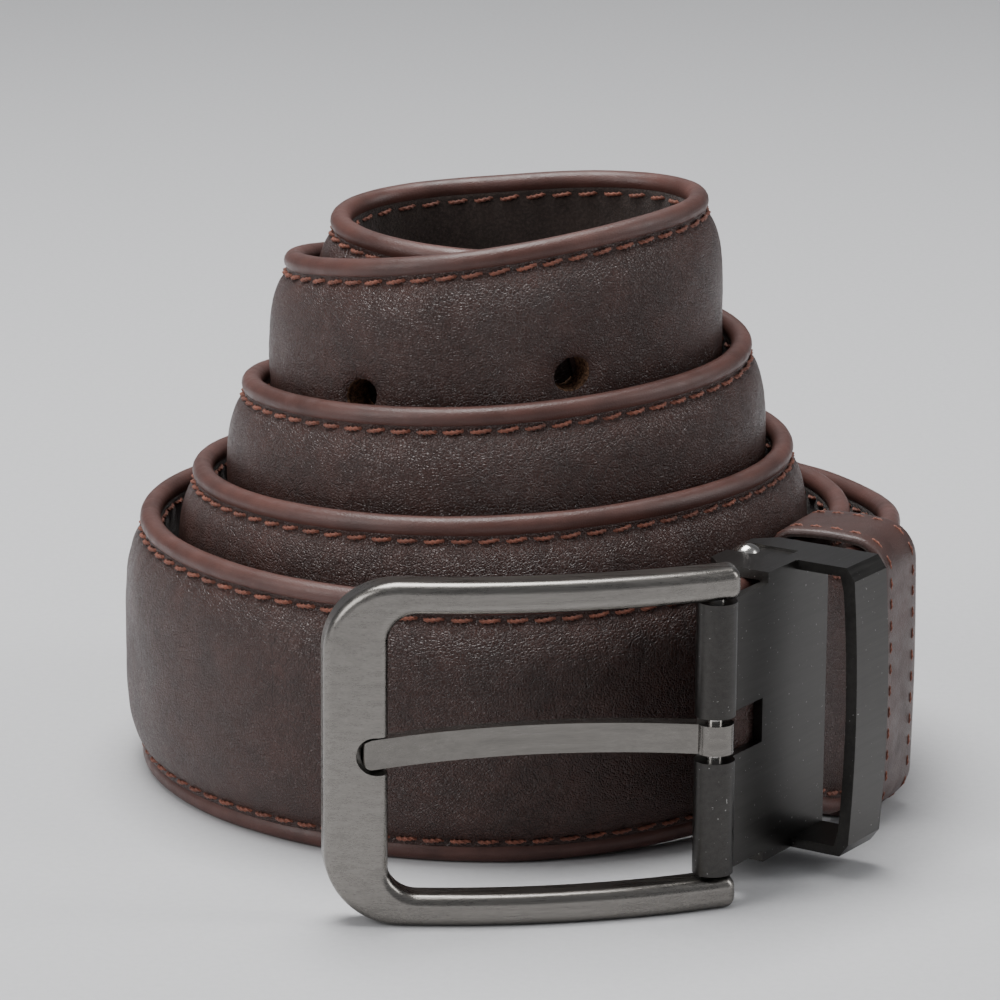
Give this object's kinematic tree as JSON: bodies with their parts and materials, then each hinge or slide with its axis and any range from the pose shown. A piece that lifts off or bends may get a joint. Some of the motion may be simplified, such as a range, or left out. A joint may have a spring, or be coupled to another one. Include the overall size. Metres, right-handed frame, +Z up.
{
  "type": "leather belt",
  "caption": "Padded leather dress belt rolled into a rising coil, with stitched edges, a hinged metal clamp buckle with prong, a fixed metal loop and a sliding leather keeper.",
  "frame": {"origin": "under the middle of the whole belt, on the floor it lies on", "axes": "+Z up, -Y towards the side that shows the buckle, +X to the clamp's side"},
  "size_m": [0.1032, 0.1117, 0.0775],
  "materials": {
    "face_leather": "padded, milled grain, soft sheen",
    "edge_leather": "smooth painted edge, satin",
    "lining": "napped, dull",
    "padding": "felt board, dull",
    "thread": "twisted thread, dull",
    "frame_metal": "brushed gunmetal",
    "housing_metal": "satin black nickel",
    "pin_metal": "polished"
  },
  "bodies": {
    "strap": {"clamp_housing": "housing_metal", "clamp_pin": "pin_metal", "edge_bead_bottom": "edge_leather", "edge_bead_tip": "edge_leather", "edge_bead_top": "edge_leather", "face_stitching_bottom": "thread", "face_stitching_top": "thread", "hinge_pin": "pin_metal", "lining_stitching_bottom": "thread", "lining_stitching_top": "thread", "strap_face_leather": "face_leather", "strap_lining": "lining", "strap_padding": "padding"},
    "frame": {"buckle_frame": "frame_metal"},
    "prong": {"prong": "frame_metal"},
    "jaw": {"clamp_jaw": "housing_metal"},
    "keeper": {"keeper_leather": "face_leather", "keeper_lining": "lining", "keeper_staple": "pin_metal", "keeper_stitching_front": "thread", "keeper_stitching_rear": "thread"}
  },
  "joints": [
    {"name": "frame_hinge", "type": "hinge", "parent": "strap", "child": "frame", "pos_m": [0.0236, -0.04649, 0.0214], "axis": [0, 0, 1], "range_deg": [-18, 80]},
    {"name": "prong_hinge", "type": "hinge", "parent": "frame", "child": "prong", "pos_m": [0.0236, -0.04649, 0.0214], "axis": [0, 0, 1], "range_deg": [0, 80]},
    {"name": "jaw_hinge", "type": "hinge", "parent": "strap", "child": "jaw", "pos_m": [0.02808, -0.02736, 0.0214], "axis": [0, 0, 1], "range_deg": [-28, 0]},
    {"name": "keeper_slide", "type": "slide", "parent": "strap", "child": "keeper", "axis": [0.4372, 0.8994, 0], "range_m": [-0.0015, 0.0015]}
  ]
}
